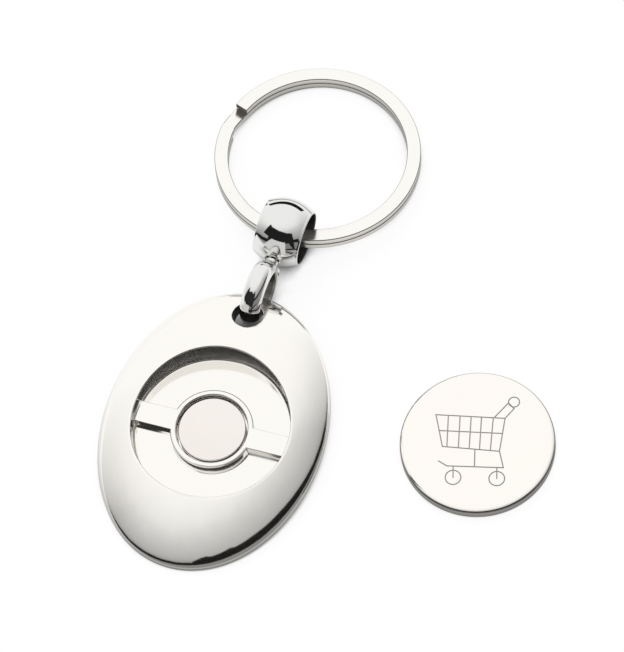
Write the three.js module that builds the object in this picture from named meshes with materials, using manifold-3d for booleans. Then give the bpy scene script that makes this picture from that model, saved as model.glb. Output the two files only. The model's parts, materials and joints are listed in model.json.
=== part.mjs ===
/**
 * Trolley coin keyring: a domed oval fob whose round pocket holds a coin-sized token by a magnet,
 * a D-section link through its end, a barrel that swivels on the link's neck, and a flat split ring.
 *
 * Millimetres, +Z up. The parts lie on the plane z = 0 with the fob's long axis along +Y.
 */
import * as THREE from 'three';
import { mergeVertices } from 'three/addons/utils/BufferGeometryUtils.js';
import Module from 'manifold-3d';

const wasm = await Module();
wasm.setup();

// Counts of facets and sections.
const ROUND_FACETS = 72;
const BAND_FACETS = 60;
const SMALL_FACETS = 32;
const DOME_STEPS = 12;
const ARC_STEPS = 4;
const EDGE_STEPS = 3;
const CROWN_STEPS = 8;
const WIRE_STEPS_PER_TURN = 72;
const WELD_TOLERANCE = 1e-5;

// Clearances between pieces, and one overrun for every cut.
const bodyGap = 0.3;
const overrun = 1.0;

// Coin.
const coinRadius = 11.625;
const coinThickness = 1.9;
const coinEdgeRound = 0.5;
const coinPlaceX = 38.6;
const coinPlaceY = 9.1;

// Fob casting: an oval dome with a low side wall.
const fobHalfWidth = 17.0;
const fobHalfLength = 22.6;
const fobOvalShift = 0.5;
const fobEdgeHeight = 0.9;
const fobEdgeBevel = 0.35;
const domeRise = 6.8;
const domePlanPower = 1.5;
const domeSectionPower = 1.4;

// Coin pocket, its cross bar and its boss.
const pocketClearance = 0.4;
const pocketDraft = 0.12;
const pocketFillet = 0.35;
const pocketRimRound = 0.3;
const floorThickness = 1.1;
const seatHeight = 1.5;
const barWidth = 3.3;
const barDraft = 0.15;
const bossRadius = 6.3;
const bossEdgeRound = 0.15;

// Magnet and the bore that it sits in.
const magnetRadius = 5.1;
const magnetThickness = 1.2;
const magnetEdgeRound = 0.2;
const magnetRecess = 0.4;

// D-section link.
const linkBoreRadius = 3.5;
const linkThickness = 1.7;
const linkWidth = 3.2;
const linkCrown = 0.95;
const linkCornerRound = 0.45;
const linkRadius = linkBoreRadius + linkThickness;
const linkYaw = THREE.MathUtils.degToRad(-3.5);
const linkLean = THREE.MathUtils.degToRad(3);

// Link hole through the fob's end, and the bridge that it leaves for the link to go round.
const bridgeWidth = 2.05;
const linkHoleClearance = 0.54;
const linkHoleRound = 0.5;
const linkHoleRadius = Math.hypot(linkWidth / 2, linkThickness / 2) + linkHoleClearance;
const linkHolePlace = fobOvalShift + fobHalfLength - bridgeWidth - linkHoleRadius;

// Where the link hangs on the bridge.
const linkRiseShare = 0.66;
const linkBoreClearance = 0.45;
const linkPlaceX = 0.3;
const linkAboveBack = linkRiseShare * linkBoreRadius;
const bridgeInnerFace = linkHolePlace + Math.sqrt(linkHoleRadius ** 2 - (linkWidth / 2) ** 2);
const linkPlaceY = bridgeInnerFace
  + Math.sqrt((linkBoreRadius - linkBoreClearance) ** 2 - (linkAboveBack - linkHoleRound) ** 2);

// Neck of the link, and the head that holds the barrel on it.
const neckRadius = 1.0;
const neckFootRadius = 1.5;
const neckFootLength = 0.5;
const neckHeadRadius = 1.6;
const neckHeadHeight = 0.6;
const neckHeadRimShare = 0.33;
const neckHeadCapShare = 0.7;
const neckGap = 0.5;

// Split ring of flat wire.
const splitRingRadius = 15.95;
const wireWidth = 2.15;
const wireThickness = 0.9;
const wireEdgeBevel = 0.12;
const turnGap = 0.42;
const splitRingCutAngle = THREE.MathUtils.degToRad(143);
const splitRingJog = THREE.MathUtils.degToRad(20);
const wireInnerRadius = splitRingRadius - wireWidth;
const wireStack = 2 * wireThickness + turnGap;

// Where the wire lies in the barrel, from the barrel's axis.
const barrelWidth = 7.2;
const wireBesideBarrel = 0.4;
const wireBeyondBarrel = 0.3;
const wirePlay = 0.32;
const wireSag = wireInnerRadius - Math.sqrt(wireInnerRadius ** 2 - (barrelWidth / 2) ** 2);
const wireReach = wireBeyondBarrel + wireWidth / 2 + wireSag;

// Barrel that turns on the neck, sized round the wire.
const barrelRoom = 1.06;
const barrelLip = 0.35;
const barrelCrown = 1.0;
const barrelWall = 0.9;
const barrelMouthBore = Math.hypot(wireReach, wireStack) + barrelRoom;
const barrelMouthRadius = barrelMouthBore + barrelLip;
const barrelRadius = barrelMouthRadius + barrelCrown;
const barrelPlace = linkRadius + neckGap + barrelRadius;

const chrome = new THREE.MeshStandardMaterial({ name: 'polished_chrome', color: 0xd9dadb, roughness: 0.08, metalness: 1 });
const castNickel = new THREE.MeshStandardMaterial({ name: 'polished_nickel', color: 0xe4e3e1, roughness: 0.12, metalness: 1 });
const wireNickel = new THREE.MeshStandardMaterial({ name: 'brushed_nickel', color: 0xdcdbd8, roughness: 0.25, metalness: 1 });
const coinNickel = new THREE.MeshStandardMaterial({ name: 'satin_nickel', color: 0xe6e3df, roughness: 0.3, metalness: 1 });
const magnetNickel = new THREE.MeshStandardMaterial({ name: 'magnet_nickel', color: 0xdedad6, roughness: 0.2, metalness: 1 });

/** Welds a geometry's corners into a solid that can be cut and joined. */
function toSolid(geometry) {
  const bare = geometry.clone();
  bare.deleteAttribute('normal');
  bare.deleteAttribute('uv');
  const merged = mergeVertices(bare, WELD_TOLERANCE);
  return new wasm.Manifold(new wasm.Mesh({
    numProp: 3,
    vertProperties: new Float32Array(merged.attributes.position.array),
    triVerts: new Uint32Array(merged.index.array),
  }));
}

/** Turns a solid back into a geometry with flat facets. */
function toGeometry(solid) {
  const mesh = solid.getMesh();
  const geometry = new THREE.BufferGeometry();
  geometry.setAttribute('position', new THREE.BufferAttribute(new Float32Array(mesh.vertProperties), 3));
  geometry.setIndex(new THREE.BufferAttribute(new Uint32Array(mesh.triVerts), 1));
  geometry.computeVertexNormals();
  return geometry;
}

/**
 * Skins a row of sections, each a ring of the same number of points, into one closed body.
 * The sections run anticlockwise as seen against the direction in which the row advances.
 */
function skin(sections) {
  const count = sections[0].length;
  const points = sections.flat();
  const triangles = [];
  for (let row = 0; row < sections.length - 1; row += 1) {
    for (let k = 0; k < count; k += 1) {
      const next = (k + 1) % count;
      const a = row * count + k;
      const b = row * count + next;
      const c = a + count;
      const d = b + count;
      triangles.push(a, b, d, a, d, c);
    }
  }
  const centreOf = (section) => section.reduce((sum, point) => sum.add(point), new THREE.Vector3()).divideScalar(count);
  const lastRow = (sections.length - 1) * count;
  const startCentre = points.push(centreOf(sections[0])) - 1;
  const endCentre = points.push(centreOf(sections[sections.length - 1])) - 1;
  for (let k = 0; k < count; k += 1) {
    const next = (k + 1) % count;
    triangles.push(startCentre, next, k);
    triangles.push(endCentre, lastRow + k, lastRow + next);
  }
  const geometry = new THREE.BufferGeometry().setFromPoints(points);
  geometry.setIndex(triangles);
  geometry.computeVertexNormals();
  return geometry;
}

/** A ring of points about (0, placeY); heightAt gives each point's height. */
function planRing(radius, placeY, facets, heightAt) {
  return Array.from({ length: facets }, (_, k) => {
    const angle = (k / facets) * 2 * Math.PI;
    const x = radius * Math.cos(angle);
    const y = placeY + radius * Math.sin(angle);
    return new THREE.Vector3(x, y, heightAt(x, y));
  });
}

/** Points of a round from one angle to another, about a centre. */
function roundPoints(centreX, centreY, radius, fromDegrees, toDegrees) {
  return Array.from({ length: EDGE_STEPS + 1 }, (_, k) => {
    const angle = THREE.MathUtils.degToRad(fromDegrees + ((toDegrees - fromDegrees) * k) / EDGE_STEPS);
    return new THREE.Vector2(centreX + radius * Math.cos(angle), centreY + radius * Math.sin(angle));
  });
}

/** A disc about Z with rounded edges, from bottom to top. */
function roundedDisc(radius, bottom, top, edgeRound, facets) {
  const profile = [
    new THREE.Vector2(0, bottom),
    ...roundPoints(radius - edgeRound, bottom + edgeRound, edgeRound, -90, 0),
    ...roundPoints(radius - edgeRound, top - edgeRound, edgeRound, 0, 90),
    new THREE.Vector2(0, top),
  ];
  return new THREE.LatheGeometry(profile, facets).rotateX(Math.PI / 2);
}

/** Height of the dome over a point of the fob's plan. */
function domeHeight(x, y) {
  const share = Math.min(1, Math.hypot(x / fobHalfWidth, (y - fobOvalShift) / fobHalfLength));
  return fobEdgeHeight + domeRise * (1 - share ** domePlanPower) ** (1 / domeSectionPower);
}

/** The oval blank: flat back, bevelled edge, low wall and dome. */
function makeFobBlank() {
  const oval = (inset, height) => Array.from({ length: ROUND_FACETS }, (_, k) => {
    const angle = (k / ROUND_FACETS) * 2 * Math.PI;
    const x = (fobHalfWidth - inset) * Math.cos(angle);
    const y = fobOvalShift + (fobHalfLength - inset) * Math.sin(angle);
    return new THREE.Vector3(x, y, height);
  });
  const sections = [oval(fobEdgeBevel, 0), oval(0, fobEdgeBevel), oval(0, fobEdgeHeight)];
  for (let k = 1; k < DOME_STEPS; k += 1) {
    const rise = (k / DOME_STEPS) ** 2;
    const share = (1 - rise) ** (1 / domePlanPower);
    sections.push(Array.from({ length: ROUND_FACETS }, (_, i) => {
      const angle = (i / ROUND_FACETS) * 2 * Math.PI;
      const x = fobHalfWidth * share * Math.cos(angle);
      const y = fobOvalShift + fobHalfLength * share * Math.sin(angle);
      return new THREE.Vector3(x, y, fobEdgeHeight + domeRise * rise ** (1 / domeSectionPower));
    }));
  }
  return toSolid(skin(sections));
}

/** Rings of a cutter whose mouth flares by a quarter round that follows the dome. */
function mouthRings(radius, placeY, mouthRound, facets) {
  const rings = [];
  for (let k = 0; k <= ARC_STEPS; k += 1) {
    const angle = (k / ARC_STEPS) * (Math.PI / 2);
    const flare = mouthRound * (1 - Math.cos(angle));
    const drop = mouthRound * (1 - Math.sin(angle));
    rings.push(planRing(radius + flare, placeY, facets, (x, y) => domeHeight(x, y) - drop));
  }
  rings.push(planRing(radius + mouthRound, placeY, facets, () => fobEdgeHeight + domeRise + overrun));
  return rings;
}

/** The coin pocket: filleted floor, drafted wall and rounded rim. */
function makePocketCutter() {
  const floorRadius = coinRadius + pocketClearance - pocketDraft;
  const rings = roundPoints(floorRadius - pocketFillet, floorThickness + pocketFillet, pocketFillet, -90, 0)
    .map((point) => planRing(point.x, 0, ROUND_FACETS, () => point.y));
  rings.push(...mouthRings(coinRadius + pocketClearance, 0, pocketRimRound, ROUND_FACETS));
  return toSolid(skin(rings));
}

/** The through hole for the link, rounded at its mouth and bevelled at the back. */
function makeLinkHoleCutter() {
  const rings = [
    planRing(linkHoleRadius + linkHoleRound + overrun, linkHolePlace, SMALL_FACETS, () => -overrun),
    planRing(linkHoleRadius, linkHolePlace, SMALL_FACETS, () => linkHoleRound),
    ...mouthRings(linkHoleRadius, linkHolePlace, linkHoleRound, SMALL_FACETS),
  ];
  return toSolid(skin(rings));
}

/** The bar across the pocket, with drafted sides, run into the walls at both ends. */
function makeBar() {
  const reach = coinRadius + pocketClearance + overrun;
  const seat = floorThickness + seatHeight;
  const outline = new THREE.Shape();
  outline.moveTo(-barWidth / 2 - barDraft, floorThickness / 2);
  outline.lineTo(barWidth / 2 + barDraft, floorThickness / 2);
  outline.lineTo(barWidth / 2, seat);
  outline.lineTo(-barWidth / 2, seat);
  outline.closePath();
  const bar = new THREE.ExtrudeGeometry(outline, { depth: 2 * reach, bevelEnabled: false, steps: 1 });
  bar.translate(0, 0, -reach).rotateY(Math.PI / 2).rotateX(Math.PI / 2);
  return toSolid(bar);
}

/** The fob casting. */
function makeFobBody() {
  const seat = floorThickness + seatHeight;
  const boss = toSolid(roundedDisc(bossRadius, floorThickness / 2, seat, bossEdgeRound, ROUND_FACETS));
  const boreRadius = magnetRadius + bodyGap;
  const boreBottom = seat - magnetRecess - magnetThickness - bodyGap;
  const bore = new THREE.CylinderGeometry(boreRadius, boreRadius, seat + overrun - boreBottom, ROUND_FACETS);
  bore.rotateX(Math.PI / 2).translate(0, 0, (boreBottom + seat + overrun) / 2);
  return toGeometry(makeFobBlank()
    .subtract(makePocketCutter())
    .add(makeBar())
    .add(boss)
    .subtract(toSolid(bore))
    .subtract(makeLinkHoleCutter()));
}

/** The magnet, sunk a little below the boss. */
function makeMagnet() {
  const top = floorThickness + seatHeight - magnetRecess;
  return roundedDisc(magnetRadius, top - magnetThickness, top, magnetEdgeRound, ROUND_FACETS);
}

/** Points of a crown: radius at the middle of a width, falling by a drop at its ends. */
function crownPoints(radius, drop, width) {
  return Array.from({ length: CROWN_STEPS + 1 }, (_, k) => {
    const share = (2 * k) / CROWN_STEPS - 1;
    return new THREE.Vector2(radius - drop * share * share, (share * width) / 2);
  });
}

/** Radius of the barrel's bore at a distance from its middle. */
function barrelBoreAt(distance) {
  const bore = barrelRadius - barrelWall;
  return bore - (bore - barrelMouthBore) * (distance / (barrelWidth / 2)) ** 2;
}

/** The link: a D-section ring about X, with the neck and its head along +Y. */
function makeLink() {
  const corner = linkBoreRadius + linkCornerRound;
  const section = [
    ...crownPoints(linkRadius, linkCrown, linkWidth),
    ...roundPoints(corner, linkWidth / 2 - linkCornerRound, linkCornerRound, 90, 180),
    ...roundPoints(corner, linkCornerRound - linkWidth / 2, linkCornerRound, 180, 270),
  ];
  section.push(section[0].clone());
  const ring = new THREE.LatheGeometry(section, BAND_FACETS).rotateZ(-Math.PI / 2);

  const headReach = Math.sqrt(barrelBoreAt(neckHeadRadius) ** 2 - neckHeadRadius ** 2) - bodyGap;
  const headStart = barrelPlace - headReach;
  const neck = new THREE.LatheGeometry([
    new THREE.Vector2(0, linkBoreRadius + linkCornerRound),
    new THREE.Vector2(neckFootRadius, linkBoreRadius + linkCornerRound),
    new THREE.Vector2(neckFootRadius, linkRadius - linkCrown / 2),
    new THREE.Vector2(neckRadius, linkRadius - linkCrown / 2 + neckFootLength),
    new THREE.Vector2(neckRadius, headStart),
    new THREE.Vector2(neckHeadRadius, headStart),
    new THREE.Vector2(neckHeadRadius, headStart + neckHeadHeight * neckHeadRimShare),
    new THREE.Vector2(neckHeadRadius * neckHeadCapShare, headStart + neckHeadHeight),
    new THREE.Vector2(0, headStart + neckHeadHeight),
  ], SMALL_FACETS);
  return toGeometry(toSolid(ring).add(toSolid(neck)));
}

/** The barrel about X: a crowned shell, open at both ends, with the neck's hole on its -Y side. */
function makeBarrel() {
  const bore = barrelBoreAt(0);
  const section = [
    ...crownPoints(barrelRadius, barrelCrown, barrelWidth),
    ...crownPoints(bore, bore - barrelMouthBore, barrelWidth).reverse(),
  ];
  section.push(section[0].clone());
  const shell = new THREE.LatheGeometry(section, BAND_FACETS).rotateZ(-Math.PI / 2);
  const holeRadius = neckRadius + bodyGap;
  const hole = new THREE.CylinderGeometry(holeRadius, holeRadius, barrelRadius + overrun, SMALL_FACETS);
  hole.translate(0, -(barrelRadius + overrun) / 2, 0);
  return toGeometry(toSolid(shell).subtract(toSolid(hole)));
}

/** Section of the flat wire: a bevelled rectangle, as pairs of outward and upward offsets. */
function wireSection() {
  const across = wireWidth / 2;
  const up = wireThickness / 2;
  const bevel = wireEdgeBevel;
  return [
    [across, -up + bevel], [across, up - bevel], [across - bevel, up], [-across + bevel, up],
    [-across, up - bevel], [-across, -up + bevel], [-across + bevel, -up], [across - bevel, -up],
  ];
}

/** Height of the wire's middle along its run, which starts on top at the cut end and dives once. */
function wireLevel(run) {
  const pitch = wireThickness + turnGap;
  const diveStart = 2 * Math.PI - splitRingJog;
  const share = THREE.MathUtils.clamp((run - diveStart) / splitRingJog, 0, 1);
  return pitch * (1 - THREE.MathUtils.smoothstep(share, 0, 1)) + wireThickness / 2;
}

/** The split ring: one flat wire, wound clockwise from its cut end for almost two turns. */
function makeSplitRing() {
  const middle = splitRingRadius - wireWidth / 2;
  const length = 4 * Math.PI - splitRingJog;
  const steps = Math.round((length / (2 * Math.PI)) * WIRE_STEPS_PER_TURN);
  const profile = wireSection();
  const sections = [];
  for (let k = 0; k <= steps; k += 1) {
    const run = (length * k) / steps;
    const angle = splitRingCutAngle - run;
    sections.push(profile.map(([out, up]) => new THREE.Vector3(
      (middle + out) * Math.cos(angle),
      (middle + out) * Math.sin(angle),
      wireLevel(run) + up,
    )));
  }
  return skin(sections);
}

/** Least gap between the two turns of the split ring, measured between facing points. */
function leastTurnGap(geometry) {
  const count = wireSection().length;
  const position = geometry.attributes.position;
  const points = Array.from({ length: position.count - 2 }, (_, k) => new THREE.Vector3().fromBufferAttribute(position, k));
  const turnPoints = WIRE_STEPS_PER_TURN * count;
  let least = Infinity;
  for (let a = 0; a < points.length; a += 1) {
    for (let b = a + turnPoints / 2; b < points.length; b += 1) {
      least = Math.min(least, points[a].distanceTo(points[b]));
    }
  }
  return least;
}

/** Makes a named mesh. */
function part(name, geometry, material) {
  const mesh = new THREE.Mesh(geometry, material);
  mesh.name = name;
  return mesh;
}

/** Lowers or lifts an object until its lowest point is on z = 0. */
function rest(object) {
  object.updateWorldMatrix(true, true);
  object.position.z -= new THREE.Box3().setFromObject(object, true).min.z;
  return object;
}

// The fob leans on the link that passes beneath its end.
const fob = new THREE.Group();
fob.add(part('fob_body', makeFobBody(), castNickel));
fob.add(part('magnet', makeMagnet(), magnetNickel));
const fobHeel = fobOvalShift - fobHalfLength + fobEdgeBevel;
fob.rotation.x = Math.asin((linkRadius - linkAboveBack) / (linkPlaceY - fobHeel));
rest(fob);

// The link stands in the hole, and the barrel follows on the neck's axis.
const barrelGroup = new THREE.Group();
barrelGroup.add(part('barrel', makeBarrel(), chrome));
barrelGroup.position.y = barrelPlace;
const chain = new THREE.Group();
chain.add(part('swivel_link', makeLink(), chrome), barrelGroup);
chain.position.set(linkPlaceX, linkPlaceY, 0);
chain.rotation.set(0, linkLean, linkYaw, 'ZYX');
rest(chain);

// The split ring lies with its far side down, and its near side rests in the barrel's mouths.
const splitRing = part('split_ring', makeSplitRing(), wireNickel);
console.log(`least gap between turns: ${leastTurnGap(splitRing.geometry).toFixed(3)} mm`);
const wireDrop = Math.sqrt((barrelMouthBore - bodyGap) ** 2 - wireReach ** 2);
splitRing.position.set(
  linkPlaceX - barrelPlace * Math.sin(linkYaw) + wireBesideBarrel,
  linkPlaceY + barrelPlace * Math.cos(linkYaw) + wireBeyondBarrel + splitRingRadius - wireWidth / 2,
  0,
);
splitRing.rotation.x = -Math.asin((barrelRadius - wireDrop + wirePlay) / (2 * splitRingRadius));
rest(splitRing);

const coin = part('coin', roundedDisc(coinRadius, 0, coinThickness, coinEdgeRound, ROUND_FACETS), coinNickel);
coin.position.set(coinPlaceX, coinPlaceY, 0);

const keyring = new THREE.Group();
keyring.name = 'trolley_coin_keyring';
keyring.add(fob, chain, splitRing, coin);

// The origin is the middle of the footprint, on the plane that everything lies on.
keyring.updateWorldMatrix(true, true);
const footprint = new THREE.Box3().setFromObject(keyring, true).getCenter(new THREE.Vector3());
keyring.position.set(-footprint.x, -footprint.y, 0);
keyring.updateWorldMatrix(true, true);

export default keyring;
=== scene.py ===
"""Trolley coin keyring: a domed nickel fob, its magnet, a chrome link and barrel, a split ring and the coin.

Every piece is modelled in metres in its own frame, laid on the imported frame's axes and given its finish.
"""
import json
import logging
import math
from abc import ABC, abstractmethod
from dataclasses import dataclass, field, replace
from enum import Enum
from typing import Iterable, Sequence

import bpy
from bpy.types import Material, MeshPolygon, Node, NodeSocket, Object, World
from mathutils import Matrix, Vector


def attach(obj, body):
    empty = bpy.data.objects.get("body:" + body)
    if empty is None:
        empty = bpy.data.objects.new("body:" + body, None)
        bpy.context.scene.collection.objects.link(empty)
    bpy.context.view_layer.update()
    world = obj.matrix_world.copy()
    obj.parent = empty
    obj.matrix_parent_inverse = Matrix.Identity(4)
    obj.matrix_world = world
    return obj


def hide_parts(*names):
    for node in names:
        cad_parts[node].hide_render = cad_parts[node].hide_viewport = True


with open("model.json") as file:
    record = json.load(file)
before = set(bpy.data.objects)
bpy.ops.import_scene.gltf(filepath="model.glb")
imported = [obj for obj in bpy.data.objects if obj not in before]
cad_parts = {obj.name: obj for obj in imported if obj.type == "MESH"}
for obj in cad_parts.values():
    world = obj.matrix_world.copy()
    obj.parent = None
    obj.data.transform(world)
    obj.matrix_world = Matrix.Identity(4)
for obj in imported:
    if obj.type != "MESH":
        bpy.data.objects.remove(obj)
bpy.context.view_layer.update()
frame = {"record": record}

log = logging.getLogger("trolley_coin_keyring")

MM = 0.001
MERGE_REACH = 0.001 * MM
FIRST_BOUNCE = 1
BOUNCE_MARGIN = 0.5
UP = Vector((0.0, 0.0, 1.0))
Pair = tuple[float, float]
Triple = tuple[float, float, float]


class Axis(Enum):
    """The axis that a profile is spun about."""

    X = (1.0, 0.0, 0.0)
    Y = (0.0, 1.0, 0.0)
    Z = (0.0, 0.0, 1.0)

    def point(self, radius: float, along: float) -> Triple:
        """Places a profile point, given by its distance from the axis and its distance along it."""
        return {"X": (along, radius, 0.0), "Y": (radius, along, 0.0), "Z": (radius, 0.0, along)}[self.name]


class Joining(Enum):
    """What a body does to the one that it is combined with."""

    CUT = "DIFFERENCE"
    ADD = "UNION"


@dataclass(frozen=True)
class Place:
    """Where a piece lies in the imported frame."""

    origin: Vector
    x_axis: Vector
    y_axis: Vector

    def up(self) -> Vector:
        """Gives the direction of the place's Z axis."""
        return self.x_axis.cross(self.y_axis)

    def matrix(self) -> Matrix:
        """Gives the matrix that carries the piece's own frame to its place."""
        turn = Matrix((self.x_axis, self.y_axis, self.up())).transposed()
        return Matrix.Translation(self.origin) @ turn.to_4x4()


class Packed:
    """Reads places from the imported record."""

    def __init__(self, record: dict) -> None:
        """Keeps the record's mounts and joints by name."""
        self.mounts = {mount["name"]: mount for mount in record["mounts"]}
        self.joints = {joint["name"]: joint for joint in record["behaviour"]["joints"]}

    def lying(self, name: str, side: float) -> Place:
        """Gives the place at a mount, with X along the world's X axis.

        Args:
            name: The mount's name.
            side: 1 where the place's Z axis is the mount's axis, and -1 where it is the opposite.

        Returns:
            The place.
        """
        mount = self.mounts[name]
        across = Vector((1.0, 0.0, 0.0))
        along = (side * Vector(mount["axis"])).cross(across)
        return Place(Vector(mount["pos_m"]), across, along.normalized())

    def on_neck(self, joint: str) -> Place:
        """Gives the place at a joint of the link, with X along the swing's axis and Y along the neck."""
        swing, neck = (Vector(self.joints[name]["axis"]) for name in ("link_swing", "barrel_swivel"))
        return Place(Vector(self.joints[joint]["pos_m"]), swing.normalized(), neck.normalized())

    def fob(self) -> Place:
        """Gives the place of the fob, on its flat back below the pocket's middle."""
        return self.lying("fob_back", -1.0)

    def link(self) -> Place:
        """Gives the place of the link, at the middle of its ring."""
        return self.on_neck("link_swing")

    def barrel(self) -> Place:
        """Gives the place of the barrel, at its middle."""
        return self.on_neck("barrel_swivel")

    def ring(self, wire_middle: float, stack: float) -> Place:
        """Gives the ring's place under its lower turn, from its middle radius and both turns' height."""
        face = self.lying("ring_face", 1.0)
        return replace(face, origin=face.origin - face.y_axis * wire_middle - face.up() * stack)

    def coin(self) -> Place:
        """Gives the place of the coin, at the middle of its lower face."""
        return self.lying("coin_base", -1.0)


def clear_selection() -> None:
    """Deselects every object."""
    bpy.ops.object.select_all(action="DESELECT")


def pick(obj: Object) -> None:
    """Selects one object alone and makes it the active one.

    Args:
        obj: The object.
    """
    clear_selection()
    obj.select_set(True)
    bpy.context.view_layer.objects.active = obj


def spin(name: str, profile: Sequence[Pair], axis: Axis, segments: int, closed: bool = False,
         sweep: float = math.tau) -> Object:
    """Spins a profile about an axis through the origin.

    Args:
        name: Name of the new object.
        profile: Points as pairs of radius and distance along the axis.
        axis: The axis to spin about.
        segments: Steps of the spin.
        closed: Whether the profile joins its last point to its first.
        sweep: Angle of the spin, anticlockwise as seen from the axis's tip.

    Returns:
        The spun object.
    """
    clear_selection()
    bpy.ops.mesh.primitive_circle_add(vertices=len(profile), radius=MM, fill_type="NOTHING")
    obj = bpy.context.active_object
    obj.name = name
    for vertex, (radius, along) in zip(obj.data.vertices, profile):
        vertex.co = axis.point(radius, along)
    if not closed:
        last = len(profile) - 1
        for edge in obj.data.edges:
            edge.select = set(edge.vertices) == {0, last}
        for vertex in obj.data.vertices:
            vertex.select = False
        bpy.context.tool_settings.mesh_select_mode = (False, True, False)
        bpy.ops.object.mode_set(mode="EDIT")
        bpy.ops.mesh.delete(type="EDGE")
    else:
        bpy.ops.object.mode_set(mode="EDIT")
    bpy.ops.mesh.select_mode(type="VERT")
    bpy.ops.mesh.select_all(action="SELECT")
    bpy.ops.mesh.spin(steps=segments, angle=-sweep, center=(0.0, 0.0, 0.0), axis=axis.value)
    bpy.ops.mesh.select_all(action="SELECT")
    if math.isclose(sweep, math.tau):
        bpy.ops.mesh.remove_doubles(threshold=MERGE_REACH)
    bpy.ops.mesh.normals_make_consistent(inside=False)
    bpy.ops.object.mode_set(mode="OBJECT")
    return obj


def modify(obj: Object, kind: str, **settings: object) -> None:
    """Applies a modifier to a body.

    Args:
        obj: The body.
        kind: Blender's name of the modifier type.
        **settings: The modifier's own options.
    """
    pick(obj)
    modifier = obj.modifiers.new(kind.lower(), kind)
    for option, value in settings.items():
        setattr(modifier, option, value)
    bpy.ops.object.modifier_apply(modifier=modifier.name)


def combine(target: Object, tool: Object, joining: Joining) -> None:
    """Cuts or joins a closed body with another, which is used up."""
    modify(target, "BOOLEAN", operation=joining.value, solver="EXACT", object=tool)
    bpy.data.objects.remove(tool)


def block(name: str, size: Sequence[float], middle: Sequence[float]) -> Object:
    """Adds a box, as a start for a bar or a groove.

    Args:
        name: Name of the new object.
        size: Lengths along X, Y and Z.
        middle: The box's middle.

    Returns:
        The box, with its size and place in its mesh.
    """
    clear_selection()
    bpy.ops.mesh.primitive_cube_add(size=1.0)
    obj = bpy.context.active_object
    obj.name = name
    obj.data.transform(Matrix.Translation(middle) @ Matrix.Diagonal((*size, 1.0)))
    return obj


def arc(centre: Pair, radius: float, start: float, end: float, steps: int,
        flatness: float = 1.0) -> list[Pair]:
    """Lists the points of an arc in a profile.

    Args:
        centre: Centre of the arc.
        radius: Radius of the arc.
        start: First angle in degrees, from the radius direction towards the axis direction.
        end: Last angle in degrees.
        steps: Steps of the arc.
        flatness: Height of the arc for each unit of its radius.

    Returns:
        The points, both ends included.
    """
    points = []
    for step in range(steps + 1):
        angle = math.radians(start + (end - start) * step / steps)
        points.append((centre[0] + radius * math.cos(angle), centre[1] + radius * flatness * math.sin(angle)))
    return points


class Wiring:
    """Adds the nodes of one material or world and joins them."""

    def __init__(self, owner: Material | World) -> None:
        """Turns the nodes on, and keeps them and their links.

        Args:
            owner: The material or the world.
        """
        owner.use_nodes = True
        self.nodes = owner.node_tree.nodes
        self.links = owner.node_tree.links

    def feed(self, node: Node, inputs: dict[str | int, object]) -> None:
        """Sets a node's inputs.

        Args:
            node: The node.
            inputs: For each input, either a constant or the output that feeds it.
        """
        for socket, value in inputs.items():
            if isinstance(value, NodeSocket):
                self.links.new(value, node.inputs[socket])
            else:
                node.inputs[socket].default_value = value

    def node(self, kind: str, inputs: dict[str | int, object], **settings: object) -> Node:
        """Adds a node.

        Args:
            kind: Blender's name of the node type.
            inputs: What its inputs are set to.
            **settings: The node's own options.

        Returns:
            The node.
        """
        node = self.nodes.new(kind)
        for option, value in settings.items():
            setattr(node, option, value)
        self.feed(node, inputs)
        return node

    def ramp(self, value: NodeSocket, source: Pair = (0.0, 1.0), result: Pair = (0.0, 1.0)) -> NodeSocket:
        """Maps a value from a source range onto a result range, held at both ends."""
        node = self.node("ShaderNodeMapRange", {"Value": value, "From Min": source[0], "From Max": source[1],
                                                "To Min": result[0], "To Max": result[1]})
        return node.outputs["Result"]

    def math(self, operation: str, first: object, second: object) -> NodeSocket:
        """Joins two constants or outputs by an operation that Blender names."""
        return self.node("ShaderNodeMath", {0: first, 1: second}, operation=operation).outputs["Value"]

    def along(self, where: NodeSocket, direction: Vector) -> NodeSocket:
        """Gives how far a point or a direction reaches along an axis."""
        return self.node("ShaderNodeVectorMath", {0: where, 1: direction},
                         operation="DOT_PRODUCT").outputs["Value"]

    def blend(self, share: object, first: NodeSocket, second: NodeSocket) -> NodeSocket:
        """Mixes two shaders by the share of the second one."""
        return self.node("ShaderNodeMixShader", {"Fac": share, 1: first, 2: second}).outputs["Shader"]

    def mixed(self, kind: str, share: object, first: object, second: object) -> NodeSocket:
        """Mixes two values of a kind that Blender names, by the share of the second one."""
        return self.node("ShaderNodeMix", {"Factor": share, "A": first, "B": second},
                         data_type=kind).outputs["Result"]


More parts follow.
